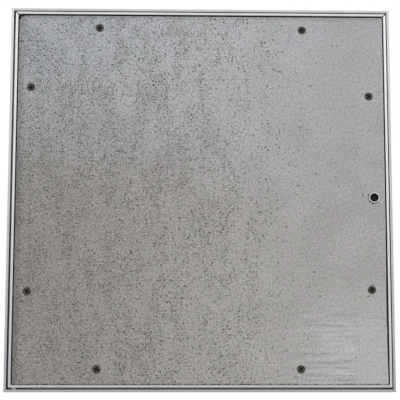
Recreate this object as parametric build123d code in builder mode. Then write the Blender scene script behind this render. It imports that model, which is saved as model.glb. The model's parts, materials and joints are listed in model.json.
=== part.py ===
from build123d import *
from math import cos, radians, sin
import os

# Flush access panel: a board-filled door, hinged on the left in a mitred aluminium frame.
#
# Millimetres. X runs to the right, Z up, and Y into the wall that the panel is built into. The
# origin is the middle of the frame's box. In the sections, u counts inward from a frame's outer
# edge and w counts back from the panel's front.

# Frame
PANEL = 400.0  # outer width and height
DEPTH = 28.0  # front lip to rear edge
WALL = 1.5  # thickness of every extruded wall
LIP_WIDTH = 2.8
LIP_DEPTH = 2.0
LIP_OUTER_ROUND = 1.2
LIP_INNER_ROUND = 0.4
STOP_FRONT = 18.0  # front of the flange that carries the seal
STOP_WIDTH = 10.0
RETURN_WIDTH = 6.0  # rear edge, folded inward
HOOK_U = 3.7  # the two hooks that hold the corner cleats
HOOK_WIDTH = 1.0
HOOK_HEIGHT = 1.3
WALL_ROUND = 0.4  # rounds on the edges and in the roots of thin walls

# Fixing holes through the frame's sides, into the wall opening
FIXING_RADIUS = 2.5
FIXING_SPACING = 240.0
FIXING_W = 23.0

# Gaps round the door, which hangs nearer the top right corner
GAP_LEFT = 1.9
GAP_TOP = 0.9

# Door
DOOR = 391.6  # outer width and height
EDGE_WIDTH = 2.6
EDGE_DEPTH = 2.0
SHELF_FRONT = 12.8  # shelf behind the board
SHELF_WIDTH = 27.0
RIB_BACK = 18.3  # stiffening rib along the shelf's inner edge
NOSE_BACK = 16.0  # edge that closes on the seal

# Saw gaps left at the mitres, across the cut; the door's top corners meet loosely
OUTER_MITRES = {"top_left": 0.1, "top_right": 0.1, "bottom_left": 0.1, "bottom_right": 0.1}
DOOR_MITRES = {"top_left": 0.45, "top_right": 0.45, "bottom_left": 0.1, "bottom_right": 0.1}

# Board
BOARD_RECESS = 0.3
BOARD_GAP_SIDE = 1.4  # between the board and the door's edge; the board sits on the bottom edge
BOARD_GAP_TOP = 1.8
BOARD_GAP_BOTTOM = 0.3
CORNER_BREAK = 3.2  # broken top left corner

# Board screws: bugle heads, driven by hand, so their places and turns are uneven
SCREW_LENGTH = 25.0
SCREW_TIP = 6.0
SCREW_CORE = 1.5
SCREW_HEAD = 4.1
SCREW_RIM = 0.4
SCREW_BUGLE = 4.0
SCREW_SINK = 0.5  # head below the board's face
CROSS_LENGTH = 4.4
CROSS_WIDTH = 0.9
CROSS_DEPTH = 1.8
CROSS_TAPER = 9
SINK_RADIUS = 4.6  # countersink that the head pulls into the board
SINK_ANGLE = 53
SHAFT_CLEARANCE = 0.05
SCREW_SPOTS = (  # x, z, turn of the cross
    (-107, 179, 2),
    (107, 178, 30),
    (-178, 115, 15),
    (-178, -98, 62),
    (177, 107, 50),
    (177, -96, 24),
    (-106, -177, 70),
    (103, -177, 45),
)

# Hinge: a pin at each end of the door's left side
PIVOT_INSET = 5.5  # from the door's left edge
PIVOT_W = 5.0
PIN_RADIUS = 1.5
PIN_HEAD = 2.4
PIN_END_GAP = 0.1
BUSH_RADIUS = 2.2
BUSH_FLANGE = 2.7
RUNNING = 0.05  # radial running clearance
THRUST_TOP = 0.2
THRUST_BOTTOM = 0.1

# Corner cleats
OUTER_CLEAT = 2.0
OUTER_CLEAT_LEG = 34.0
DOOR_CLEAT = 1.2
DOOR_CLEAT_LEG = 25.0
DOOR_CLEAT_GUSSET = 2.4
CLEAT_PLAY = 0.1

# Seal
SEAL_WIDTH = 5.0
SEAL_U = 5.5
SEAL_GAP = 0.1  # to the door's nose
SEAL_START = 7.0  # beyond the pivot, clear of the door's swinging edge

# Lock: a quarter-turn cam, worked by a square key through the board
LOCK_INSET = 18.8  # from the frame's right edge
SLEEVE_RADIUS = 5.5
SLEEVE_BORE = 4.5
SLEEVE_FRONT = 0.2
SLEEVE_CHAMFER = 0.2
HOLE_CHIP_DEPTH = 0.8
HOLE_CHIPS = (  # x, z and radius of the chips where the board's hole broke out
    (-5.9, -0.5, 0.6),
    (-5.3, -3.4, 0.8),
    (-2.7, -5.5, 0.9),
    (-1.6, -6.5, 0.6),
)
SLEEVE_BACK = 11.8
HOUSING_LENGTH = 36.0
HOUSING_WIDTH = 15.0
HOUSING_BASE = 2.5
HOUSING_BACK = 19.7
LOCK_SCREW_SPACING = 26.0
SPINDLE_FRONT = 12.0
SPINDLE_BACK = 18.2  # where the barrel steps down to the neck
SPINDLE_BARREL = 4.95
SPINDLE_NECK = 3.5
KEY_SQUARE = 5.0
KEY_DEPTH = 5.0
CAM_SQUARE = 5.5
CAM_FRONT = 20.0
CAM_THICKNESS = 2.0
CAM_HUB = 6.3
CAM_ARM = 9.0
CAM_REACH = 13.0
CAM_ROUND = 2.5
WASHER_RADIUS = 3.6
WASHER_THICKNESS = 0.5
M3_CORE = 1.25
M3_HEAD = 2.75
M3_HEAD_HEIGHT = 2.2
M3_SLOT = 0.8

# Places worked out from those dimensions
FRONT = -DEPTH / 2
BACKWARD = Vector(0, 1, 0)
INWARD = {
    "left": Vector(1, 0, 0),
    "right": Vector(-1, 0, 0),
    "top": Vector(0, 0, -1),
    "bottom": Vector(0, 0, 1),
}
CORNERS = {  # each corner's outward signs along X and Z
    "top_left": (-1, 1),
    "top_right": (1, 1),
    "bottom_left": (-1, -1),
    "bottom_right": (1, -1),
}
STOP_BACK = STOP_FRONT + WALL
SHELF_BACK = SHELF_FRONT + WALL
RETURN_FRONT = DEPTH - WALL
DOOR_LEFT = -PANEL / 2 + LIP_WIDTH + GAP_LEFT
DOOR_TOP = PANEL / 2 - LIP_WIDTH - GAP_TOP
DOOR_BOTTOM = DOOR_TOP - DOOR
DOOR_X = DOOR_LEFT + DOOR / 2
DOOR_Z = DOOR_TOP - DOOR / 2
PIVOT_X = DOOR_LEFT + PIVOT_INSET
PIVOT_Y = FRONT + PIVOT_W
LOCK_X = PANEL / 2 - LOCK_INSET
BOARD_LEFT = DOOR_LEFT + EDGE_WIDTH + BOARD_GAP_SIDE
BOARD_RIGHT = DOOR_LEFT + DOOR - EDGE_WIDTH - BOARD_GAP_SIDE
BOARD_TOP = DOOR_TOP - EDGE_WIDTH - BOARD_GAP_TOP
BOARD_BOTTOM = DOOR_BOTTOM + EDGE_WIDTH + BOARD_GAP_BOTTOM
BOARD_THICKNESS = SHELF_FRONT - BOARD_RECESS


def facing(w, x=0.0, z=0.0, turn=0.0):
    """Plane at depth w that faces the viewer; extruding by a negative amount goes into the wall."""
    across = (cos(radians(turn)), 0, sin(radians(turn)))
    return Plane(origin=(x, FRONT + w, z), x_dir=across, z_dir=(0, -1, 0))


def section_plane(side, middle, size):
    """Plane across one side of a square frame at mid-length, where local x is u and local y is w."""
    inward = INWARD[side]
    return Plane(origin=middle - inward * (size / 2), x_dir=inward, z_dir=inward.cross(BACKWARD))


def wall(u0, u1, w0, w1):
    """Add one straight wall to the section being drawn."""
    with Locations(((u0 + u1) / 2, (w0 + w1) / 2)):
        Rectangle(u1 - u0, w1 - w0)


def round_corner(u, w, radius):
    """Round the section's corner nearest to a point."""
    fillet(vertices().sort_by_distance((u, w))[0], radius)


def outer_section():
    """Frame section: front lip, web, seal flange, cleat channel and rear return."""
    wall(0, WALL, 0, DEPTH)
    wall(0, LIP_WIDTH, 0, LIP_DEPTH)
    wall(0, STOP_WIDTH, STOP_FRONT, STOP_BACK)
    wall(0, RETURN_WIDTH, RETURN_FRONT, DEPTH)
    wall(HOOK_U, HOOK_U + HOOK_WIDTH, STOP_BACK, STOP_BACK + HOOK_HEIGHT)
    wall(HOOK_U, HOOK_U + HOOK_WIDTH, RETURN_FRONT - HOOK_HEIGHT, RETURN_FRONT)
    round_corner(0, 0, LIP_OUTER_ROUND)
    round_corner(LIP_WIDTH, 0, LIP_INNER_ROUND)
    round_corner(WALL, LIP_DEPTH, WALL_ROUND)
    round_corner(WALL, STOP_FRONT, WALL_ROUND)
    round_corner(STOP_WIDTH, STOP_FRONT, WALL_ROUND)
    round_corner(STOP_WIDTH, STOP_BACK, WALL_ROUND)
    round_corner(RETURN_WIDTH, DEPTH, WALL_ROUND)


def door_section():
    """Door section: visible edge, web that ends in the nose, and the shelf with its rib."""
    wall(0, WALL, 0, NOSE_BACK)
    wall(0, EDGE_WIDTH, 0, EDGE_DEPTH)
    wall(0, SHELF_WIDTH, SHELF_FRONT, SHELF_BACK)
    wall(SHELF_WIDTH - WALL, SHELF_WIDTH, SHELF_FRONT, RIB_BACK)
    round_corner(0, 0, WALL_ROUND)
    round_corner(EDGE_WIDTH, 0, WALL_ROUND)
    round_corner(0, NOSE_BACK, WALL_ROUND)
    round_corner(WALL, NOSE_BACK, WALL_ROUND)
    round_corner(SHELF_WIDTH - WALL, SHELF_BACK, WALL_ROUND)
    round_corner(SHELF_WIDTH, RIB_BACK, WALL_ROUND)


def corner_at(inward, end):
    """Name the corner at one end of a side."""
    outward = end - inward
    return f"{'top' if outward.Z > 0 else 'bottom'}_{'right' if outward.X > 0 else 'left'}"


def cut_mitres(plane, size, gaps):
    """Cut both ends of the extrusion being made at 45 degrees, each short by half of its corner's gap."""
    for end in (plane.z_dir, -plane.z_dir):
        across = (end + plane.x_dir).normalized()
        gap = gaps[corner_at(plane.x_dir, end)]
        mitre = Plane(origin=plane.origin + end * (size / 2) - across * (gap / 2), z_dir=across)
        split(bisect_by=mitre, keep=Keep.BOTTOM)


def save(builder, node):
    """Label a finished piece and write it."""
    builder.part.label = node
    export_step(builder.part, f"parts/{node}.step")


os.makedirs("parts", exist_ok=True)

# Outer frame: four mitred lengths of one extrusion
for side, inward in INWARD.items():
    plane = section_plane(side, Vector(0, FRONT, 0), PANEL)
    with BuildPart() as outer_member:
        with BuildSketch(plane):
            outer_section()
        extrude(amount=PANEL / 2, both=True)
        cut_mitres(plane, PANEL, OUTER_MITRES)
        web = Plane(origin=plane.origin + BACKWARD * FIXING_W, x_dir=plane.z_dir, z_dir=-inward)
        with Locations(web):
            with GridLocations(FIXING_SPACING, 0, 2, 1):
                Hole(FIXING_RADIUS, depth=WALL)
        if side in ("top", "bottom"):
            with Locations(Plane(origin=(PIVOT_X, PIVOT_Y, plane.origin.Z), z_dir=-inward)):
                CounterSinkHole(PIN_RADIUS, PIN_HEAD, depth=WALL, counter_sink_angle=90)
    save(outer_member, f"outer_frame_{side}")

# Door frame: four mitred lengths of the door extrusion
for side, inward in INWARD.items():
    plane = section_plane(side, Vector(DOOR_X, FRONT, DOOR_Z), DOOR)
    with BuildPart() as door_member:
        with BuildSketch(plane):
            door_section()
        extrude(amount=DOOR / 2, both=True)
        cut_mitres(plane, DOOR, DOOR_MITRES)
        if side in ("top", "bottom"):
            with Locations(Plane(origin=(PIVOT_X, PIVOT_Y, plane.origin.Z), z_dir=-inward)):
                Hole(BUSH_RADIUS, depth=WALL)
        for x, z, turn in SCREW_SPOTS:
            with Locations(facing(SHELF_FRONT, x, z)):
                Hole(SCREW_CORE + SHAFT_CLEARANCE, depth=WALL)
        if side == "right":
            with Locations(facing(SHELF_FRONT, LOCK_X)):
                Hole(SLEEVE_RADIUS, depth=WALL)
                with GridLocations(0, LOCK_SCREW_SPACING, 1, 2):
                    CounterSinkHole(M3_CORE + SHAFT_CLEARANCE, M3_HEAD, depth=WALL, counter_sink_angle=90)
    save(door_member, f"door_frame_{side}")

# Corner cleats: an angle pressed into each corner of both frames
for corner, (out_x, out_z) in CORNERS.items():
    edge = PANEL / 2 - WALL
    with BuildPart() as outer_cleat:
        with BuildSketch(facing(STOP_BACK + CLEAT_PLAY)):
            with BuildLine():
                Polyline(
                    (out_x * edge, out_z * edge),
                    (out_x * (edge - OUTER_CLEAT_LEG), out_z * edge),
                    (out_x * (edge - OUTER_CLEAT_LEG), out_z * (edge - OUTER_CLEAT)),
                    (out_x * (edge - OUTER_CLEAT), out_z * (edge - OUTER_CLEAT)),
                    (out_x * (edge - OUTER_CLEAT), out_z * (edge - OUTER_CLEAT_LEG)),
                    (out_x * edge, out_z * (edge - OUTER_CLEAT_LEG)),
                    close=True,
                )
            make_face()
        extrude(amount=-(RETURN_FRONT - STOP_BACK - 2 * CLEAT_PLAY))
    save(outer_cleat, f"outer_corner_cleat_{corner}")

for corner, (out_x, out_z) in CORNERS.items():
    edge_x = DOOR_X + out_x * (DOOR / 2 - WALL)
    edge_z = DOOR_Z + out_z * (DOOR / 2 - WALL)
    with BuildPart() as door_cleat:
        with BuildSketch(facing(EDGE_DEPTH + CLEAT_PLAY)):
            with BuildLine():
                Polyline(
                    (edge_x, edge_z),
                    (edge_x - out_x * DOOR_CLEAT_LEG, edge_z),
                    (edge_x - out_x * DOOR_CLEAT_LEG, edge_z - out_z * DOOR_CLEAT),
                    (edge_x - out_x * DOOR_CLEAT_GUSSET, edge_z - out_z * DOOR_CLEAT),
                    (edge_x - out_x * DOOR_CLEAT, edge_z - out_z * DOOR_CLEAT_GUSSET),
                    (edge_x - out_x * DOOR_CLEAT, edge_z - out_z * DOOR_CLEAT_LEG),
                    (edge_x, edge_z - out_z * DOOR_CLEAT_LEG),
                    close=True,
                )
            make_face()
        extrude(amount=-(SHELF_FRONT - EDGE_DEPTH - 2 * CLEAT_PLAY))
        if out_x < 0:
            with Locations(Plane(origin=(PIVOT_X, PIVOT_Y, edge_z), z_dir=(0, 0, out_z))):
                Hole(BUSH_RADIUS, depth=DOOR_CLEAT)
    save(door_cleat, f"door_corner_cleat_{corner}")

# Board, with its broken corner, the screws' countersinks and the lock's hole
with BuildPart() as infill_board:
    with BuildSketch(facing(BOARD_RECESS)):
        with Locations(((BOARD_LEFT + BOARD_RIGHT) / 2, (BOARD_TOP + BOARD_BOTTOM) / 2)):
            Rectangle(BOARD_RIGHT - BOARD_LEFT, BOARD_TOP - BOARD_BOTTOM)
        with BuildLine():
            Polyline(
                (BOARD_LEFT, BOARD_TOP),
                (BOARD_LEFT + CORNER_BREAK, BOARD_TOP),
                (BOARD_LEFT + 0.45 * CORNER_BREAK, BOARD_TOP - 0.3 * CORNER_BREAK),
                (BOARD_LEFT, BOARD_TOP - 0.85 * CORNER_BREAK),
                close=True,
            )
        make_face(mode=Mode.SUBTRACT)
    extrude(amount=-BOARD_THICKNESS)
    for x, z, turn in SCREW_SPOTS:
        with Locations(facing(BOARD_RECESS, x, z)):
            CounterSinkHole(
                SCREW_CORE + SHAFT_CLEARANCE,
                SINK_RADIUS,
                depth=BOARD_THICKNESS,
                counter_sink_angle=SINK_ANGLE,
            )
    with Locations(facing(BOARD_RECESS, LOCK_X)):
        Hole(SLEEVE_RADIUS, depth=BOARD_THICKNESS)
        for x, z, radius in HOLE_CHIPS:
            with Locations((x, z)):
                Hole(radius, depth=HOLE_CHIP_DEPTH)
save(infill_board, "infill_board")

# Board screws
with BuildPart() as bugle_screw:
    with BuildSketch(Plane.XZ):
        with BuildLine():
            Polyline(
                (SCREW_CORE, -SCREW_BUGLE),
                (SCREW_CORE, SCREW_TIP - SCREW_LENGTH),
                (0, -SCREW_LENGTH),
                (0, 0),
                (SCREW_HEAD, 0),
                (SCREW_HEAD, -SCREW_RIM),
            )
            TangentArc((SCREW_CORE, -SCREW_BUGLE), (SCREW_HEAD, -SCREW_RIM), tangent=(0, 1))
        make_face()
    revolve(axis=Axis.Z)
    with BuildSketch(Plane.XY):
        Rectangle(CROSS_LENGTH, CROSS_WIDTH)
        Rectangle(CROSS_WIDTH, CROSS_LENGTH)
    extrude(amount=-CROSS_DEPTH, taper=CROSS_TAPER, mode=Mode.SUBTRACT)

with BuildPart() as board_screws:
    for x, z, turn in SCREW_SPOTS:
        with Locations(facing(BOARD_RECESS + SCREW_SINK, x, z, turn)):
            add(bugle_screw.part)
save(board_screws, "board_screws")

# Hinge pins, countersunk in the frame, and the flanged bushes that turn on them
for side, up in (("top", 1), ("bottom", -1)):
    door_edge = DOOR_TOP if side == "top" else DOOR_BOTTOM
    thrust = THRUST_TOP if side == "top" else THRUST_BOTTOM
    bush_length = WALL + DOOR_CLEAT
    pin_length = PANEL / 2 - up * door_edge + bush_length - PIN_END_GAP
    flange_height = PANEL / 2 - WALL - up * door_edge - thrust
    pin_plane = Plane(origin=(PIVOT_X, PIVOT_Y, up * PANEL / 2), x_dir=(1, 0, 0), z_dir=(0, -up, 0))
    with BuildPart() as hinge_pin:
        with BuildSketch(pin_plane):
            with BuildLine():
                Polyline(
                    (0, 0),
                    (PIN_HEAD, 0),
                    (PIN_RADIUS, PIN_RADIUS - PIN_HEAD),
                    (PIN_RADIUS, WALL_ROUND - pin_length),
                    (PIN_RADIUS - WALL_ROUND, -pin_length),
                    (0, -pin_length),
                    close=True,
                )
            make_face()
        revolve(axis=Axis((PIVOT_X, PIVOT_Y, 0), (0, 0, 1)))
    save(hinge_pin, f"hinge_pin_{side}")

    bush_plane = Plane(origin=(PIVOT_X, PIVOT_Y, door_edge), z_dir=(0, 0, up))
    with BuildPart() as hinge_bush:
        with BuildSketch(bush_plane):
            Circle(BUSH_FLANGE)
        extrude(amount=flange_height)
        with BuildSketch(bush_plane):
            Circle(BUSH_RADIUS)
        extrude(amount=-bush_length)
        with Locations(bush_plane.offset(flange_height)):
            Hole(PIN_RADIUS + RUNNING, depth=flange_height + bush_length)
    save(hinge_bush, f"hinge_bush_{side}")

# Seal: a D-shaped strip on three sides, which stops short of the door's swinging edge
with BuildPart() as door_seal:
    seal_edge = PANEL / 2 - SEAL_U
    seal_start = PIVOT_X + SEAL_START
    seal_height = STOP_FRONT - NOSE_BACK - SEAL_GAP
    with BuildLine(facing(STOP_FRONT)) as seal_path:
        Polyline(
            (seal_start, -seal_edge),
            (seal_edge, -seal_edge),
            (seal_edge, seal_edge),
            (seal_start, seal_edge),
        )
    seal_end = Plane(origin=(seal_start, FRONT + STOP_FRONT, -seal_edge), x_dir=(0, 0, 1), z_dir=(1, 0, 0))
    with BuildSketch(seal_end):
        with BuildLine():
            Line((-SEAL_WIDTH / 2, 0), (SEAL_WIDTH / 2, 0))
            ThreePointArc((SEAL_WIDTH / 2, 0), (0, seal_height), (-SEAL_WIDTH / 2, 0))
        make_face()
    sweep(path=seal_path.line, transition=Transition.RIGHT)
save(door_seal, "door_seal")

# Lock sleeve: the tube that lines the key hole
with BuildPart() as lock_sleeve:
    with BuildSketch(facing(SLEEVE_FRONT, LOCK_X)):
        Circle(SLEEVE_RADIUS)
        Circle(SLEEVE_BORE, mode=Mode.SUBTRACT)
    extrude(amount=SLEEVE_FRONT - SLEEVE_BACK)
    chamfer(edges().group_by(Axis.Y)[0], SLEEVE_CHAMFER)
save(lock_sleeve, "lock_sleeve")

# Lock housing, behind the shelf
with BuildPart() as lock_housing:
    with BuildSketch(facing(SHELF_BACK, LOCK_X, turn=90)):
        SlotOverall(HOUSING_LENGTH, HOUSING_WIDTH)
    extrude(amount=-HOUSING_BASE)
    with BuildSketch(facing(SHELF_BACK, LOCK_X)):
        Circle(HOUSING_WIDTH / 2)
    extrude(amount=SHELF_BACK - HOUSING_BACK)
    with Locations(facing(SHELF_BACK, LOCK_X)):
        CounterBoreHole(SPINDLE_NECK + RUNNING, SPINDLE_BARREL + RUNNING, SPINDLE_BACK - SHELF_BACK + RUNNING)
        with GridLocations(0, LOCK_SCREW_SPACING, 1, 2):
            Hole(M3_CORE, depth=HOUSING_BASE)
save(lock_housing, "lock_housing")

with BuildPart() as lock_screw:
    with BuildSketch(Plane.XZ):
        with BuildLine():
            Polyline(
                (0, 0),
                (M3_HEAD, 0),
                (M3_CORE, M3_CORE - M3_HEAD),
                (M3_CORE, -WALL - HOUSING_BASE),
                (0, -WALL - HOUSING_BASE),
                close=True,
            )
        make_face()
    revolve(axis=Axis.Z)
    with BuildSketch(Plane.XY):
        Rectangle(2 * M3_HEAD, M3_SLOT)
    extrude(amount=-M3_SLOT, mode=Mode.SUBTRACT)

with BuildPart() as lock_screws:
    with Locations(facing(SHELF_FRONT, LOCK_X)):
        with GridLocations(0, LOCK_SCREW_SPACING, 1, 2):
            add(lock_screw.part)
save(lock_screws, "lock_screws")

# Spindle: a barrel with the key's square socket, a neck and the square that drives the cam
cam_back = CAM_FRONT + CAM_THICKNESS
with BuildPart() as lock_spindle:
    with BuildSketch(facing(SPINDLE_FRONT, LOCK_X)):
        Circle(SPINDLE_BARREL)
    extrude(amount=SPINDLE_FRONT - SPINDLE_BACK)
    with BuildSketch(facing(SPINDLE_FRONT, LOCK_X)):
        Rectangle(KEY_SQUARE, KEY_SQUARE)
    extrude(amount=-KEY_DEPTH, mode=Mode.SUBTRACT)
    with BuildSketch(facing(SPINDLE_BACK, LOCK_X)):
        Circle(SPINDLE_NECK)
    extrude(amount=SPINDLE_BACK - CAM_FRONT)
    with BuildSketch(facing(CAM_FRONT, LOCK_X)):
        Rectangle(CAM_SQUARE, CAM_SQUARE)
        Circle(SPINDLE_NECK, mode=Mode.INTERSECT)
    extrude(amount=-CAM_THICKNESS)
    with BuildSketch(facing(cam_back, LOCK_X)):
        Circle(M3_CORE)
    extrude(amount=CAM_THICKNESS + WALL, mode=Mode.SUBTRACT)
save(lock_spindle, "lock_spindle")

# Cam, which stands upright when the lock is open and turns behind the seal flange to hold the door
with BuildPart() as lock_cam:
    with BuildSketch(facing(CAM_FRONT, LOCK_X)):
        with Locations((0, CAM_REACH / 2)):
            RectangleRounded(CAM_ARM, CAM_REACH, CAM_ROUND)
        Circle(CAM_HUB)
        with BuildSketch(mode=Mode.SUBTRACT):
            Rectangle(CAM_SQUARE, CAM_SQUARE)
            Circle(SPINDLE_NECK, mode=Mode.INTERSECT)
    extrude(amount=-CAM_THICKNESS)
save(lock_cam, "lock_cam")

with BuildPart() as cam_washer:
    with BuildSketch(facing(cam_back, LOCK_X)):
        Circle(WASHER_RADIUS)
        Circle(M3_CORE, mode=Mode.SUBTRACT)
    extrude(amount=-WASHER_THICKNESS)
save(cam_washer, "cam_washer")

with BuildPart() as cam_screw:
    with BuildSketch(facing(cam_back + WASHER_THICKNESS, LOCK_X)):
        Circle(M3_HEAD)
    extrude(amount=-M3_HEAD_HEIGHT)
    fillet(edges().sort_by(Axis.Y)[-1], WALL_ROUND)
    with BuildSketch(facing(cam_back + WASHER_THICKNESS, LOCK_X)):
        Circle(M3_CORE)
    extrude(amount=WASHER_THICKNESS + CAM_THICKNESS + WALL)
    with BuildSketch(facing(cam_back + WASHER_THICKNESS + M3_HEAD_HEIGHT, LOCK_X)):
        Rectangle(2 * M3_HEAD, M3_SLOT)
    extrude(amount=M3_SLOT, mode=Mode.SUBTRACT)
save(cam_screw, "cam_screw")
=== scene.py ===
import json
import math

import bmesh
import bpy
from mathutils import Matrix, Vector


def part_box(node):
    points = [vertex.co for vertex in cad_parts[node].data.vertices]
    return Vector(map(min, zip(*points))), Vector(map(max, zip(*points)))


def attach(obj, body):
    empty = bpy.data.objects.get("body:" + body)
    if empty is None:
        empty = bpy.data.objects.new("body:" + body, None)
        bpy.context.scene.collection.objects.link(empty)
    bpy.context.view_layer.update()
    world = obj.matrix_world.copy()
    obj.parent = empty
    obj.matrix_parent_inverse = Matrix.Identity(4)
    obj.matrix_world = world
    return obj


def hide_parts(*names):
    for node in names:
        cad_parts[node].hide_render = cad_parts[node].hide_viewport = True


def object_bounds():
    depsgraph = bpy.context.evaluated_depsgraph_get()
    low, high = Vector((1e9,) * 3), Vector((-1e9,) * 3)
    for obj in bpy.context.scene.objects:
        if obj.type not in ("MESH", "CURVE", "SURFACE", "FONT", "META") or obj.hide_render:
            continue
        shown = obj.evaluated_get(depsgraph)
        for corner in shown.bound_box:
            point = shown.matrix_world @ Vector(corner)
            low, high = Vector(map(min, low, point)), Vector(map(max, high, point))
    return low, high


# Looks of the flush access panel. Metres, in the CAD's frame: X to the right, Y into the wall, Z up.

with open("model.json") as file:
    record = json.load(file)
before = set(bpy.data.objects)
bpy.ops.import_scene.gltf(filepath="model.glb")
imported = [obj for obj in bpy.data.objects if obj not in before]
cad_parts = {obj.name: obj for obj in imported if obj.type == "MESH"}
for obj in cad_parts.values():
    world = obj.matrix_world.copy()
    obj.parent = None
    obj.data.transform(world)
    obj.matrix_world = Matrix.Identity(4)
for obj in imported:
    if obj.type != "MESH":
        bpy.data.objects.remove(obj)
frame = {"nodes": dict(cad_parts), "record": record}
cad_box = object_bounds()
nodes = frame["nodes"]
record = frame["record"]

MM = 0.001
LEVEL, UPRIGHT = 0, 2  # indices of the X and Z axes
low, high = cad_box
FRONT = low.y
PANEL = high.x - low.x
board_low, board_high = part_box("infill_board")
sleeve_low, sleeve_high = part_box("lock_sleeve")
LOCK_AXIS = (sleeve_low + sleeve_high) / 2
LOCK_AXIS.y = sleeve_low.y
HEAD_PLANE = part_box("board_screws")[0].y


# ---------------------------------------------------------------- material graphs


class Graph:
    """A principled material's node tree, with short calls for the nodes used here."""

    def __init__(self, name, **constants):
        self.material = bpy.data.materials.new(name)
        self.material.use_nodes = True
        self.tree = self.material.node_tree
        self.shader = self.tree.nodes["Principled BSDF"]
        self.position = self.add("ShaderNodeTexCoord").outputs["Object"]
        for socket, value in constants.items():
            self.set(socket, value)

    def add(self, kind, inputs=None, **settings):
        node = self.tree.nodes.new(kind)
        for key, value in settings.items():
            setattr(node, key, value)
        for key, value in (inputs or {}).items():
            self.feed(node.inputs[key], value)
        return node

    def feed(self, socket, value):
        if isinstance(value, bpy.types.NodeSocket):
            self.tree.links.new(value, socket)
        else:
            socket.default_value = value

    def set(self, name, value):
        """Feed one of the shader's inputs, such as base_color."""
        if name == "base_color" and not isinstance(value, bpy.types.NodeSocket):
            value = (*value, 1.0)
        self.feed(self.shader.inputs[name.replace("_", " ").title().replace("Ior", "IOR")], value)

    def math(self, operation, a, b=0.0, clamp=False):
        return self.add("ShaderNodeMath", {0: a, 1: b}, operation=operation, use_clamp=clamp).outputs[0]

    def product(self, *values):
        result = values[0]
        for value in values[1:]:
            result = self.math("MULTIPLY", result, value)
        return result

    def total(self, *values):
        result = values[0]
        for value in values[1:]:
            result = self.math("ADD", result, value)
        return result

    def span(self, value, start, end, first=0.0, last=1.0, smooth=True):
        """Map start..end to first..last, held at both ends."""
        kind = "SMOOTHSTEP" if smooth else "LINEAR"
        inputs = {"Value": value, "From Min": start, "From Max": end, "To Min": first, "To Max": last}
        return self.add("ShaderNodeMapRange", inputs, interpolation_type=kind).outputs[0]

    def stretched(self, factors, shift=(0, 0, 0), source=None):
        """Position scaled by factors along X, Y and Z, then shifted."""
        source = source or self.position
        inputs = {0: source, 1: factors, 2: shift}
        return self.add("ShaderNodeVectorMath", inputs, operation="MULTIPLY_ADD").outputs[0]

    def scaled(self, vector, factor):
        return self.add("ShaderNodeVectorMath", {0: vector, "Scale": factor}, operation="SCALE").outputs[0]

    def axis(self, index):
        return self.add("ShaderNodeSeparateXYZ", {0: self.position}).outputs[index]

    def depth_behind(self, front):
        """Depth into the wall behind a plane."""
        return self.math("SUBTRACT", self.axis(1), front)

    def distance_from(self, x, z):
        """Distance from a line along Y."""
        away = self.stretched((1, 0, 1), (-x, 0, -z))
        return self.add("ShaderNodeVectorMath", {0: away}, operation="LENGTH").outputs["Value"]

    def noise(self, size, vector=None, detail=2.0, roughness=0.5):
        """Soft noise from 0 to 1, with features of about the given size in metres."""
        inputs = {"Vector": vector or self.position, "Scale": 1 / size}
        inputs |= {"Detail": detail, "Roughness": roughness}
        return self.add("ShaderNodeTexNoise", inputs).outputs["Fac"]

    def mix(self, factor, a, b, blend="MIX"):
        node = self.add("ShaderNodeMix", {0: factor}, data_type="RGBA", blend_type=blend)
        for index, colour in ((6, a), (7, b)):
            if not isinstance(colour, bpy.types.NodeSocket):
                colour = (*colour, 1.0)
            self.feed(node.inputs[index], colour)
        return node.outputs[2]

    def within(self, box, inset):
        """1 inside a box's outline in X and Z, drawn in by the inset, and 0 outside it."""
        fade = inset / 4
        inside = 1.0
        for index in (LEVEL, UPRIGHT):
            start, end = box[0][index] + inset, box[1][index] - inset
            value = self.axis(index)
            inside = self.product(self.span(value, start, start + fade), inside)
            inside = self.product(self.span(value, end, end - fade), inside)
        return inside

    def near_break(self):
        """1 round the board's broken corner, fading to 0."""
        distance = self.distance_from(board_low.x + BREAK_MIDDLE[0], board_high.z + BREAK_MIDDLE[1])
        return self.span(distance, 6 * MM, 4 * MM)

    def bump(self, height, distance, strength=1.0):
        inputs = {"Height": height, "Distance": distance, "Strength": strength}
        self.feed(self.shader.inputs["Normal"], self.add("ShaderNodeBump", inputs).outputs[0])

    def dots(self, cell, radius, density, flat):
        """Round dots of varied size: one in each cell where density allows. flat is the pattern's plane."""
        inputs = {"Vector": flat, "Scale": 1 / cell, "Randomness": 1.0}
        voronoi = self.add("ShaderNodeTexVoronoi", inputs, voronoi_dimensions="2D")
        chance = self.add("ShaderNodeSeparateColor", {0: voronoi.outputs["Color"]}).outputs
        reach = self.span(chance[0], 0, 1, 0.45 * radius / cell, 1.25 * radius / cell, smooth=False)
        edge = self.math("DIVIDE", voronoi.outputs["Distance"], reach)
        inside = self.span(edge, 0.55, 1.1, 1.0, 0.0)
        present = self.math("LESS_THAN", chance[1], density)
        return self.math("MULTIPLY", inside, present)


# ---------------------------------------------------------------- materials

BREAK_MIDDLE = (2 * MM, -1 * MM)  # middle of the broken corner, from the board's corner
REVEAL_INSET = 1 * MM  # from a frame's outer face to a plane within its web
SHADE_FRONT = (1.2 * MM, 3 * MM)  # depths over which the painted shade inside a reveal sets in
SHADE_BACK = (13 * MM, 11 * MM)  # and over which it ends
POCKET_SHADE_BACK = (14 * MM, 13.5 * MM)  # painted shade: the near-black pocket behind the broken corner reaches the shelf
SIDE_SPAN = 0.45 * PANEL
SIDE_SHADING = (0.79, 1.22)  # painted shade and light: the side lengths are duller below and brighter above
SEAM = (0.9 * MM, 0.55 * MM)


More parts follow.
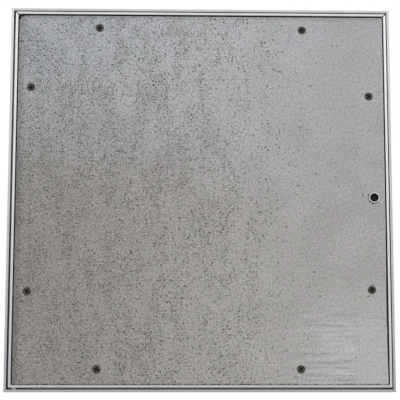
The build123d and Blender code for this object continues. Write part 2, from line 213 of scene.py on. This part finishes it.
def aluminium(name, tint, along, reveal, shade_strength=1.0, seams=0.0, rough=0.34):
    """Drawn aluminium: fine die lines along the length, faint stains, and mottled painted shade inside the
    reveal.

    along is the length's axis, reveal the box inside whose outline the painted shade lies, the argument after
    reveal how dark that painted shade is, and seams how dark the two top mitres are.
    """
    g = Graph(name, metallic=1.0)
    stretch = [1.0, 1.0, 1.0]
    stretch[along] = 0.012
    lines = g.noise(0.35 * MM, g.stretched(stretch), detail=3.0, roughness=0.6)
    broad = [1.0, 1.0, 1.0]
    broad[along] = 0.15
    bands = g.noise(2.5 * MM, g.stretched(broad), detail=2.0)
    stains = g.noise(28 * MM, detail=4.0, roughness=0.6)
    tone = g.total(g.span(lines, 0.3, 0.7, -0.05, 0.05), g.span(stains, 0.3, 0.7, -0.05, 0.04))
    dark = tuple(0.8 * value for value in tint)
    factor = g.math("ADD", 0.65, g.math("MULTIPLY", tone, 4.0), clamp=True)
    depth = g.depth_behind(FRONT)
    # painted shade: the reveal's walls are mottled near black between these depths, standing in for the shade
    # in the gap
    inside = g.product(g.span(depth, *SHADE_FRONT), g.within(reveal, REVEAL_INSET))
    reveal_shade = g.product(inside, g.span(depth, *SHADE_BACK), shade_strength)
    speckle = g.noise(1.5 * MM, detail=3.0)
    shade_colour = g.mix(g.span(speckle, 0.35, 0.65), (0.06, 0.059, 0.057), (0.13, 0.127, 0.12))
    metal = g.mix(factor, dark, tint)
    # painted shade and light: the uprights get darker towards the bottom and brighter towards the top
    if along == UPRIGHT:
        metal = g.scaled(metal, g.span(g.axis(2), -SIDE_SPAN, SIDE_SPAN, *SIDE_SHADING, smooth=False))
    middle = (reveal[0] + reveal[1]) / 2
    across = g.math("ABSOLUTE", g.math("SUBTRACT", g.axis(0), middle.x))
    off_seam = g.math("ABSOLUTE", g.math("SUBTRACT", across, g.math("SUBTRACT", g.axis(2), middle.z)))
    metal = g.mix(g.span(off_seam, *SEAM, 0, seams), metal, (0.06, 0.06, 0.06))
    # painted shade: near black in the pocket behind the broken corner
    pocket_shade = g.product(inside, g.near_break(), g.span(depth, *POCKET_SHADE_BACK))
    g.set("base_color", g.mix(pocket_shade, g.mix(reveal_shade, metal, shade_colour), (0.006, 0.006, 0.006)))
    shine = g.total(rough, g.span(bands, 0.3, 0.7, -0.05, 0.06), g.span(stains, 0.4, 0.75, 0, 0.08))
    g.set("roughness", g.total(shine, g.product(reveal_shade, 0.3)))
    g.bump(lines, 0.006 * MM, 0.6)
    return g.material


def plated_steel(name, tint=(0.55, 0.55, 0.54), rough=0.38):
    """Zinc-plated steel, slightly mottled."""
    g = Graph(name, metallic=1.0)
    mottle = g.noise(3 * MM, detail=4.0, roughness=0.65)
    grain = g.noise(0.4 * MM, detail=2.0)
    dark = tuple(0.72 * value for value in tint)
    g.set("base_color", g.mix(g.span(mottle, 0.3, 0.7), dark, tint))
    g.set("roughness", g.total(rough, g.span(mottle, 0.3, 0.7, -0.06, 0.1)))
    g.bump(grain, 0.01 * MM, 0.5)
    return g.material


def die_cast(name, tint=(0.2, 0.2, 0.21)):
    """Dull cast zinc with a fine sandy skin."""
    g = Graph(name, metallic=0.75)
    sand = g.noise(0.25 * MM, detail=3.0)
    flow = g.noise(4 * MM, detail=3.0)
    dark = tuple(0.7 * value for value in tint)
    g.set("base_color", g.mix(g.span(flow, 0.3, 0.7), dark, tint))
    g.set("roughness", g.span(sand, 0.3, 0.7, 0.5, 0.68))
    g.bump(sand, 0.02 * MM, 0.6)
    return g.material


def phosphate(name):
    """Black phosphate on the screws, rubbed brown and dusted on top, with near-black painted shade inside the
    cross.
    """
    g = Graph(name, metallic=0.5, roughness=0.5)
    rub = g.noise(0.9 * MM, detail=3.0, roughness=0.6)
    speckle = g.noise(0.5 * MM, detail=4.0, roughness=0.7)
    coat = g.mix(g.span(rub, 0.4, 0.66), (0.022, 0.021, 0.02), (0.1, 0.09, 0.078))
    coat = g.mix(g.span(speckle, 0.5, 0.68, 0, 0.5), coat, (0.3, 0.285, 0.26))
    # painted shade: near black below the head's face, inside the cross
    below = g.depth_behind(HEAD_PLANE)
    g.set("base_color", g.mix(g.span(below, 0.1 * MM, 0.5 * MM), coat, (0.012, 0.011, 0.01)))
    g.bump(speckle, 0.03 * MM, 0.6)
    return g.material


def rubber(name):
    """Black extruded seal."""
    g = Graph(name, roughness=0.62)
    bloom = g.noise(6 * MM, detail=4.0)
    g.set("base_color", g.mix(g.span(bloom, 0.35, 0.7), (0.012, 0.012, 0.013), (0.035, 0.034, 0.034)))
    g.bump(g.noise(0.3 * MM, detail=2.0), 0.02 * MM, 0.5)
    return g.material


def nylon(name):
    """Natural nylon, slightly waxy."""
    g = Graph(name, roughness=0.42)
    cloud = g.noise(2 * MM, detail=3.0)
    g.set("base_color", g.mix(g.span(cloud, 0.3, 0.7), (0.66, 0.64, 0.57), (0.76, 0.75, 0.7)))
    g.bump(g.noise(0.2 * MM), 0.01 * MM, 0.4)
    return g.material


def sleeve_tube(name):
    """Cut aluminium tube: bright at its rim, with mottled painted shade inside."""
    g = Graph(name, metallic=1.0)
    radius = g.distance_from(LOCK_AXIS.x, LOCK_AXIS.z)
    depth = g.depth_behind(LOCK_AXIS.y)
    inside = g.product(g.span(radius, 4.75 * MM, 4.55 * MM), g.span(depth, 0.25 * MM, 0.7 * MM))
    # painted shade: the bore is painted dark and mottled, standing in for the shade inside the tube
    inner_mottle = g.noise(1.6 * MM, g.stretched((1, 0.3, 1)), detail=3.0)
    inner_shade = g.mix(g.span(inner_mottle, 0.35, 0.65), (0.06, 0.052, 0.046), (0.17, 0.15, 0.135))
    g.set("base_color", g.mix(inside, (0.74, 0.74, 0.75), inner_shade))
    g.set("roughness", g.span(inside, 0, 1, 0.32, 0.5))
    g.bump(g.noise(0.3 * MM), 0.01 * MM, 0.5)
    return g.material


class Board(Graph):
    """Dry-pressed mineral board, grey with pinholes in upright bands; painted light: cool above, warm below.
    """

    def __init__(self, name):
        super().__init__(name)
        self.x, self.z = self.axis(0), self.axis(2)
        self.face = self.add("ShaderNodeCombineXYZ", {0: self.x, 1: self.z}).outputs[0]
        self.rightward = self.span(self.x, -0.5 * PANEL, 0.5 * PANEL, smooth=False)
        # the two lower right patches: smooth, and also painted paler as a glare in tone()
        self.trowelled_and_glare = self.patch((0.7, 0.88), (-0.2, -0.38))
        self.corner = self.patch((0.885, 0.915), (-0.3, -0.36))

    def patch(self, sideways, downward):
        """1 in the lower right, fading in over shares of the width and, from the middle, of the height."""
        across = self.span(self.rightward, *sideways)
        return self.product(across, self.span(self.z, *(share * PANEL for share in downward)))

    def drawn(self, size, factors, detail=2.0, roughness=0.5):
        """Noise on the face, scaled by factors along X and Z."""
        vector = self.stretched((*factors, 1), source=self.face)
        return self.noise(size, vector, detail, roughness)

    def tone(self):
        """Three greys that run into each other, soft clouds, faint hues, and a painted glare: a smooth pale
        lower right.
        """
        # painted light: the upper greys are cooler and the lower greys warmer
        lower = self.mix(self.span(self.rightward, 0.1, 0.95), (0.29, 0.272, 0.25), (0.39, 0.38, 0.368))
        upper = self.mix(self.span(self.rightward, 0.0, 0.6), (0.385, 0.398, 0.412), (0.405, 0.408, 0.418))
        tone = self.mix(self.span(self.z, -0.1 * PANEL, 0.45 * PANEL), lower, upper)
        clouds = self.noise(45 * MM, self.face, detail=3.0)
        tone = self.mix(self.span(clouds, 0.35, 0.7, 0.0, 0.16), tone, (0.2, 0.195, 0.185))
        # painted highlight: the smooth lower right patches are paler, standing in for a glare
        tone = self.mix(self.product(self.trowelled_and_glare, 0.5), tone, (0.47, 0.465, 0.455))
        tone = self.mix(self.product(self.corner, 0.5), tone, (0.44, 0.425, 0.44))
        hue = self.noise(16 * MM, self.face, detail=2.0)
        blush = self.mix(self.span(hue, 0.35, 0.65), (0.985, 1.0, 0.995), (1.015, 0.995, 1.01))
        return self.mix(1.0, tone, blush, "MULTIPLY")

    def margins(self):
        """Painted shade along the left and top edges, and crumbs along the bottom one."""
        left = self.span(self.x, board_low.x, board_low.x + 9 * MM, 0.72, 1.0)
        top = self.span(self.z, board_high.z, board_high.z - 6 * MM, 0.8, 1.0)
        crumbs = self.span(self.drawn(5 * MM, (1, 0.1), 3.0, 0.7), 0.42, 0.6, 0.2, 0.85)
        foot = self.span(self.z, board_low.z + 1.6 * MM, board_low.z + 0.4 * MM)
        return self.product(left, top, self.math("SUBTRACT", 1.0, self.product(foot, crumbs)))

    def buried(self):
        """Shade of the board's sides, which is deepest in the broken corner; the back is clear again."""
        depth = self.depth_behind(board_low.y)
        thickness = board_high.y - board_low.y
        sides = self.product(self.span(depth, 0.5 * MM, 2 * MM), self.span(depth, thickness, thickness - MM))
        broken = self.product(sides, self.near_break())
        return self.product(self.span(sides, 0, 1, 1.0, 0.3), self.span(broken, 0, 1, 1.0, 0.15))

    def mesh_print(self):
        """Faint print of the reinforcing mesh, in patches."""
        weft = self.math("SINE", self.math("MULTIPLY", self.z, 2 * math.pi / (6 * MM)))
        warp = self.math("SINE", self.math("MULTIPLY", self.x, 2 * math.pi / (4 * MM)))
        patchy = self.span(self.noise(30 * MM, self.face, detail=2.0), 0.45, 0.65)
        return self.product(self.total(weft, warp), patchy)

    def ripples(self):
        """Level trowel ripples in the lower right, from -1 to 1, but none in the smooth corner."""
        waves = self.drawn(4.2 * MM, (0.07, 1), 2.0, 0.6)
        where = self.math("SUBTRACT", self.patch((0.7, 0.82), (-0.26, -0.33)), self.corner, clamp=True)
        return self.product(self.span(waves, 0.35, 0.65, -1.0, 1.0, smooth=False), where)

    def pinholes(self):
        """Ragged pinholes, dense in upright bands on the left and gone on the right."""
        bands = self.span(self.drawn(20 * MM, (1, 0.3)), 0.36, 0.62, 0.3, 1.0)
        clumps = self.span(self.drawn(7 * MM, (1, 0.7)), 0.36, 0.62, 0.4, 1.0)
        crowd = self.product(bands, clumps, self.span(self.rightward, 0.4, 0.85, 1.0, 0.02))
        cells = {"Vector": self.face, "Scale": 1 / (0.8 * MM)}
        uneven = self.add("ShaderNodeTexNoise", cells).outputs["Color"]
        wander = self.scaled(uneven, 0.7 * MM)
        ragged = self.add("ShaderNodeVectorMath", {0: self.face, 1: wander}, operation="ADD").outputs[0]
        small = self.dots(1.35 * MM, 0.58 * MM, crowd, ragged)
        large = self.dots(3.1 * MM, 0.95 * MM, self.math("MULTIPLY", crowd, 0.65), ragged)
        depth_seen = self.span(self.noise(2.2 * MM, self.face), 0.3, 0.65, 0.5, 1.0)
        deepest = self.math("MAXIMUM", self.product(small, 0.8), self.product(large, 0.95))
        return self.product(deepest, depth_seen)


def mineral_board(name):
    g = Board(name)
    grain = g.noise(1.8 * MM, g.face, detail=3.0, roughness=0.8)
    coarse = g.product(g.span(g.rightward, 0.3, 0.85, 1.5, 0.85), g.span(g.corner, 0, 1, 1.0, 0.35))
    relief = g.drawn(1.9 * MM, (1, 0.6), 3.0, 0.7)
    mesh = g.mesh_print()
    ripple = g.ripples()
    pits = g.pinholes()
    light = g.total(
        1.0,
        g.product(g.span(g.rightward, 0.05, 0.4), g.span(g.rightward, 0.85, 0.6), 0.09),  # paler middle
        g.product(g.span(grain, 0.25, 0.75, -0.36, 0.36, smooth=False), coarse),
        g.span(relief, 0.3, 0.7, -0.2, 0.2, smooth=False),
        g.product(mesh, 0.012),
        g.product(ripple, 0.19),
    )
    plain = g.scaled(g.tone(), g.product(light, g.margins(), g.buried()))
    g.set("base_color", g.mix(pits, plain, (0.055, 0.051, 0.046)))
    g.set("roughness", g.span(g.trowelled_and_glare, 0, 1, 0.88, 0.62))
    height = g.total(
        g.product(pits, -1.0), g.product(grain, 0.25), g.product(mesh, 0.04), g.product(ripple, 0.5)
    )
    g.bump(height, 0.35 * MM, 0.8)
    return g.material


LENGTHWAYS = {"left": UPRIGHT, "right": UPRIGHT, "top": LEVEL, "bottom": LEVEL}
FRAME_SHADED_TINTS = {  # painted shade: each length has its own tint for how light falls on it, the lower lengths duller
    "left": (0.61, 0.615, 0.62),
    "right": (0.59, 0.595, 0.6),
    "top": (0.62, 0.625, 0.635),
    "bottom": (0.47, 0.475, 0.48),
}
# strength of the painted shade in each length's reveal
REVEAL_SHADE = {"left": 1.0, "right": 0.1, "top": 0.1, "bottom": 1.0}
# painted shade, as on the frame: the door's lengths are tinted for how light falls on them, the bottom one
# darkest
DOOR_SHADED_TINTS = {
    "left": (0.74, 0.745, 0.75),
    "right": (0.79, 0.79, 0.8),
    "top": (0.75, 0.75, 0.75),
    "bottom": (0.57, 0.57, 0.57),
}


def paint_nodes():
    """Give every CAD node its material."""
    finishes = {
        "cleat_steel": plated_steel("cleat steel", (0.36, 0.36, 0.355)),
        "board": mineral_board("mineral board"),
        "screw_phosphate": phosphate("black phosphate"),
        "seal_rubber": rubber("seal rubber"),
        "pin_steel": plated_steel("pin steel", (0.6, 0.6, 0.6), 0.28),
        "bush_nylon": nylon("bush nylon"),
        "sleeve_aluminium": sleeve_tube("sleeve tube"),
        "lock_zinc": die_cast("die-cast zinc"),
        "lock_steel": plated_steel("lock steel", (0.5, 0.49, 0.46), 0.34),
    }
    door_box = (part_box("door_frame_left")[0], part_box("door_frame_right")[1])
    for side, along in LENGTHWAYS.items():
        name, tint, shade_strength = f"frame aluminium {side}", FRAME_SHADED_TINTS[side], REVEAL_SHADE[side]
        finishes["frame_aluminium", side] = aluminium(name, tint, along, cad_box, shade_strength)
        name, tint = f"door aluminium {side}", DOOR_SHADED_TINTS[side]
        finishes["door_aluminium", side] = aluminium(name, tint, along, door_box, seams=1.0, rough=0.3)
    for part in record["subparts"]:
        node, slot = part["node"], part["material_slot"]
        if slot in ("frame_aluminium", "door_aluminium"):
            slot = (slot, node.rsplit("_", 1)[1])
        mesh = nodes[node].data
        mesh.materials.clear()
        mesh.materials.append(finishes[slot])


# ---------------------------------------------------------------- board with its damage

CORNER_BREAK = (  # outline of the broken top left corner, in millimetres from the board's corner
    (-1, 1),
    (5.6, 1),
    (5.2, -0.1),
    (4.4, -1.0),
    (3.1, -1.2),
    (2.4, -0.4),
    (1.9, -0.6),
    (1.9, -1.6),
    (1.5, -3.1),
    (0.7, -3.4),
    (-1, -3.7),
)
WORN_EDGE = (  # worn right edge: inset and height in millimetres, from the board's lower right corner
    (0.0, 8),
    (0.3, 22),
    (0.4, 38),
    (0.7, 48),
    (0.3, 53),
    (0.9, 60),
    (0.8, 95),
    (0.3, 130),
    (0.0, 160),
)
HOLE_CHIPS = (  # x, z, radius and depth in millimetres, from the key hole's middle
    (-0.2, -0.5, 5.8, 2.5),
    (-6.0, -0.9, 0.6, 1.0),
    (-5.1, -4.1, 0.8, 1.2),
    (-2.1, -6.1, 0.9, 1.2),
    (-0.9, -7.1, 0.5, 0.8),
    (4.1, -5.1, 0.7, 1.0),
)
CHIP_SIDES = 24


def prism(outline, front, depth):
    """Closed solid of an outline in X and Z, from a front plane back into the wall."""
    mesh = bmesh.new()
    face = mesh.faces.new([mesh.verts.new((x, front, z)) for x, z in outline])
    pushed = bmesh.ops.extrude_face_region(mesh, geom=[face])["geom"]
    moved = [item for item in pushed if isinstance(item, bmesh.types.BMVert)]
    bmesh.ops.translate(mesh, vec=(0, depth, 0), verts=moved)
    bmesh.ops.recalc_face_normals(mesh, faces=mesh.faces)
    data = bpy.data.meshes.new("cutter")
    mesh.to_mesh(data)
    mesh.free()
    cutter = bpy.data.objects.new("cutter", data)
    bpy.context.collection.objects.link(cutter)
    return cutter


def ragged_circle(x, z, radius, seed):
    """Round outline in metres whose radius wavers by a few percent."""
    points = []
    for step in range(CHIP_SIDES):
        angle = 2 * math.pi * step / CHIP_SIDES
        reach = radius * (1 + 0.06 * math.sin(3 * angle + seed) + 0.04 * math.sin(5 * angle + 2 * seed))
        points.append((x + reach * math.cos(angle), z + reach * math.sin(angle)))
    return points


def break_board():
    """The board again, with its splintered corner, worn right edge and the worn rim of the key hole."""
    source = nodes["infill_board"]
    board = bpy.data.objects.new("board", source.data.copy())
    bpy.context.collection.objects.link(board)
    above = board_low.y - MM
    left, top = board_low.x, board_high.z
    corner = [(left + x * MM, top + z * MM) for x, z in CORNER_BREAK]
    right, bottom = board_high.x, board_low.z
    edge = [(right - inset * MM, bottom + height * MM) for inset, height in WORN_EDGE]
    edge += [(right + MM, bottom + WORN_EDGE[-1][1] * MM), (right + MM, bottom + WORN_EDGE[0][1] * MM)]
    through = board_high.y - board_low.y + 2 * MM
    cutters = [prism(corner, above, through), prism(edge, above, through)]
    for seed, (x, z, radius, depth) in enumerate(HOLE_CHIPS):
        outline = ragged_circle(LOCK_AXIS.x + x * MM, LOCK_AXIS.z + z * MM, radius * MM, seed)
        cutters.append(prism(outline, above, (depth + 1) * MM))
    cut_away(board, cutters)
    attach(board, "door")
    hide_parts("infill_board")


# ---------------------------------------------------------------- drywall screws

SCREW_TURNS = (45, 24, 50, 30, 2, 15, 62, 70)  # of each cross in degrees, in the order of screw_places
FIRST_SCREW = -1.2  # angle in radians just before the lower right screw's
SAME_PLANE = 0.05 * MM
HEAD_RADIUS = 4.1 * MM
HEAD_RIM = 0.35 * MM
FLARE_LENGTH = 4.2 * MM
FLARE_CURVE = 2.2
SHANK_RADIUS = 1.35 * MM
THREAD_HEIGHT = 0.75 * MM
THREAD_PITCH = 2.8 * MM
THREAD_FLANK = 0.3  # of the pitch
SCREW_LENGTH = 25 * MM
POINT_LENGTH = 6.5 * MM
LATHE_SIDES = 28
RING_STEP = 0.3 * MM
CROSS_SPAN = (5.8 * MM, 1.7 * MM)  # length of a slot at the head and at its foot
CROSS_WIDTH = (1.5 * MM, 0.8 * MM)
CROSS_DEPTH = 2.2 * MM


def screw_places():
    """Middle of each screw's head in the CAD, anticlockwise from the lower right."""
    heads = []
    for vertex in nodes["board_screws"].data.vertices:
        if vertex.co.y > HEAD_PLANE + SAME_PLANE:
            continue
        for head in heads:
            if (vertex.co - head[0]).length < 3 * HEAD_RADIUS:
                head.append(vertex.co.copy())
                break
        else:
            heads.append([vertex.co.copy()])
    middles = []
    for head in heads:
        xs, zs = [point.x for point in head], [point.z for point in head]
        middles.append(((min(xs) + max(xs)) / 2, (min(zs) + max(zs)) / 2))
    return sorted(middles, key=lambda place: (math.atan2(place[1], place[0]) - FIRST_SCREW) % (2 * math.pi))


def screw_radius(depth, turn):
    """Radius at a depth below the head and an angle round the axis: bugle head, coarse thread, point."""
    if depth < FLARE_LENGTH:
        flare = 1 - max(depth - HEAD_RIM, 0) / (FLARE_LENGTH - HEAD_RIM)
        return SHANK_RADIUS + (HEAD_RADIUS - SHANK_RADIUS) * flare**FLARE_CURVE
    left = SCREW_LENGTH - depth
    narrowing = min(left / POINT_LENGTH, 1.0)
    phase = (depth / THREAD_PITCH - turn / (2 * math.pi)) % 1.0
    crest = max(1 - abs(phase - 0.5) / THREAD_FLANK, 0.0)
    start = min((depth - FLARE_LENGTH) / THREAD_PITCH, 1.0)
    return narrowing * (SHANK_RADIUS + THREAD_HEIGHT * crest * start)


def screw_mesh():
    """One screw along +Y, its head's face at the origin."""
    mesh = bmesh.new()
    depths = [0.0, HEAD_RIM]
    while depths[-1] < SCREW_LENGTH - 2 * RING_STEP:
        depths.append(depths[-1] + RING_STEP)
    rings = []
    for depth in depths:
        ring = []
        for side in range(LATHE_SIDES):
            turn = 2 * math.pi * side / LATHE_SIDES
            radius = screw_radius(depth, turn)
            ring.append(mesh.verts.new((radius * math.cos(turn), depth, radius * math.sin(turn))))
        rings.append(ring)
    for upper, lower in zip(rings, rings[1:]):
        for side in range(LATHE_SIDES):
            after = (side + 1) % LATHE_SIDES
            mesh.faces.new((upper[side], lower[side], lower[after], upper[after]))
    mesh.faces.new(rings[0])
    tip = mesh.verts.new((0, SCREW_LENGTH, 0))
    for side in range(LATHE_SIDES):
        mesh.faces.new((rings[-1][side], tip, rings[-1][(side + 1) % LATHE_SIDES]))
    bmesh.ops.recalc_face_normals(mesh, faces=mesh.faces)
    for face in mesh.faces:
        face.smooth = len(face.verts) < LATHE_SIDES
    data = bpy.data.meshes.new("screw")
    mesh.to_mesh(data)
    mesh.free()
    return data


def slot_cutter(upright):
    """Wedge for one slot of the cross."""
    mesh = bmesh.new()
    rings = []
    above = CROSS_DEPTH / 2
    for depth, end in ((-above, 0), (0, 0), (CROSS_DEPTH, 1)):
        along, across = CROSS_SPAN[end] / 2, CROSS_WIDTH[end] / 2
        if upright:
            along, across = across, along
        corners = ((-along, -across), (along, -across), (along, across), (-along, across))
        rings.append([mesh.verts.new((x, depth, z)) for x, z in corners])
    for upper, lower in zip(rings, rings[1:]):
        for side in range(4):
            mesh.faces.new((upper[side], lower[side], lower[(side + 1) % 4], upper[(side + 1) % 4]))
    mesh.faces.new(rings[0])
    mesh.faces.new(rings[-1])
    bmesh.ops.recalc_face_normals(mesh, faces=mesh.faces)
    data = bpy.data.meshes.new("cutter")
    mesh.to_mesh(data)
    mesh.free()
    cutter = bpy.data.objects.new("cutter", data)
    bpy.context.collection.objects.link(cutter)
    return cutter


def cut_away(piece, cutters):
    """Subtract the cutters from a piece's mesh for good."""
    for cutter in cutters:
        cut = piece.modifiers.new("cut", "BOOLEAN")
        cut.operation = "DIFFERENCE"
        cut.solver = "EXACT"
        cut.object = cutter
    shape = piece.evaluated_get(bpy.context.evaluated_depsgraph_get())
    finished = bpy.data.meshes.new_from_object(shape)
    piece.modifiers.clear()
    piece.data = finished
    for cutter in cutters:
        bpy.data.objects.remove(cutter)


def drive_screws():
    """Eight drywall screws with their crosses and threads, where the CAD has them."""
    pattern = bpy.data.objects.new("pattern", screw_mesh())
    bpy.context.collection.objects.link(pattern)
    cut_away(pattern, [slot_cutter(False), slot_cutter(True)])
    together = bmesh.new()
    for (x, z), turn in zip(screw_places(), SCREW_TURNS, strict=True):
        before = set(together.verts)
        together.from_mesh(pattern.data)
        added = [vertex for vertex in together.verts if vertex not in before]
        place = Matrix.Translation((x, HEAD_PLANE, z)) @ Matrix.Rotation(-math.radians(turn), 4, "Y")
        bmesh.ops.transform(together, matrix=place, verts=added)
    data = bpy.data.meshes.new("drywall_screws")
    together.to_mesh(data)
    together.free()
    bpy.data.objects.remove(pattern)
    data.materials.append(nodes["board_screws"].data.materials[0])
    screws = bpy.data.objects.new("drywall_screws", data)
    bpy.context.collection.objects.link(screws)
    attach(screws, "door")
    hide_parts("board_screws")


# ---------------------------------------------------------------- stage, light and camera

FLOOR_DROP = 0.3
FLOOR_SIZE = 4.0
SKY_BELOW = 0.42
SKY_ABOVE = 0.95
SKY_RISE = (-0.35, 0.75)  # heights between which the sky brightens
LAMPS = {  # place, size and power
    "key lamp": ((-0.7, -1.9, 1.5), 1.6, 14.0),
    "fill lamp": ((1.6, -1.5, 0.1), 1.2, 4.0),
}
CAMERA_PLACE = (-0.021, -1.015, -0.110)
CAMERA_TURN = (96.08, -0.09, -1.17)  # degrees about X, Y and Z
CAMERA_SENSOR = 36.0
CAMERA_LENS = 87.3


def lay_floor():
    """Plain pale floor, well below the panel, which is held by its fixings."""
    bpy.ops.mesh.primitive_plane_add(size=FLOOR_SIZE, location=(0, 0, low.z - FLOOR_DROP))
    floor = bpy.context.object
    floor.name = "floor"
    g = Graph("pale floor", roughness=0.8)
    cloud = g.noise(0.5, detail=2.0)
    g.set("base_color", g.mix(g.span(cloud, 0.3, 0.7), (0.78, 0.78, 0.77), (0.82, 0.82, 0.81)))
    floor.data.materials.append(g.material)


def light_world():
    """White where it is seen or mirrored; a soft sky, brighter above, as the light on dull surfaces."""
    world = bpy.data.worlds.new("studio")
    bpy.context.scene.world = world
    world.use_nodes = True
    tree = world.node_tree
    tree.nodes.clear()
    new = tree.nodes.new
    link = tree.links.new
    coordinates = new("ShaderNodeTexCoord")
    split = new("ShaderNodeSeparateXYZ")
    height = new("ShaderNodeMapRange")
    height.interpolation_type = "SMOOTHSTEP"
    for socket, value in zip(("From Min", "From Max", "To Min", "To Max"), (*SKY_RISE, SKY_BELOW, SKY_ABOVE)):
        height.inputs[socket].default_value = value
    sky = new("ShaderNodeBackground")
    sky.inputs["Color"].default_value = (0.975, 0.985, 1.0, 1.0)
    white = new("ShaderNodeBackground")
    white.inputs["Color"].default_value = (1.0, 1.0, 1.0, 1.0)
    path = new("ShaderNodeLightPath")
    seen = path.outputs["Is Camera Ray"]
    for kind in ("Is Glossy Ray", "Is Transmission Ray"):
        either = new("ShaderNodeMath")
        either.operation = "MAXIMUM"
        link(seen, either.inputs[0])
        link(path.outputs[kind], either.inputs[1])
        seen = either.outputs[0]
    choose = new("ShaderNodeMixShader")
    output = new("ShaderNodeOutputWorld")
    link(coordinates.outputs["Generated"], split.inputs[0])
    link(split.outputs["Z"], height.inputs["Value"])
    link(height.outputs[0], sky.inputs["Strength"])
    link(seen, choose.inputs[0])
    link(sky.outputs[0], choose.inputs[1])
    link(white.outputs[0], choose.inputs[2])
    link(choose.outputs[0], output.inputs["Surface"])


def hang_lamp(name, place, size, power):
    """Soft square lamp that faces the panel's middle."""
    lamp = bpy.data.lights.new(name, "AREA")
    lamp.size = size
    lamp.energy = power
    holder = bpy.data.objects.new(name, lamp)
    bpy.context.collection.objects.link(holder)
    holder.location = place
    holder.rotation_euler = (-Vector(place)).to_track_quat("-Z", "Y").to_euler()
    holder.visible_glossy = False


def set_camera():
    """Level with the panel's lower half, a metre in front and looking slightly up."""
    camera = bpy.data.objects.new("camera", bpy.data.cameras.new("camera"))
    bpy.context.collection.objects.link(camera)
    camera.location = CAMERA_PLACE
    camera.rotation_euler = [math.radians(turn) for turn in CAMERA_TURN]
    camera.data.sensor_width = CAMERA_SENSOR
    camera.data.lens = CAMERA_LENS
    bpy.context.scene.camera = camera


paint_nodes()
break_board()
drive_screws()
lay_floor()
light_world()
for name, (place, size, power) in LAMPS.items():
    hang_lamp(name, place, size, power)
set_camera()

bpy.context.scene.view_settings.view_transform = "Standard"
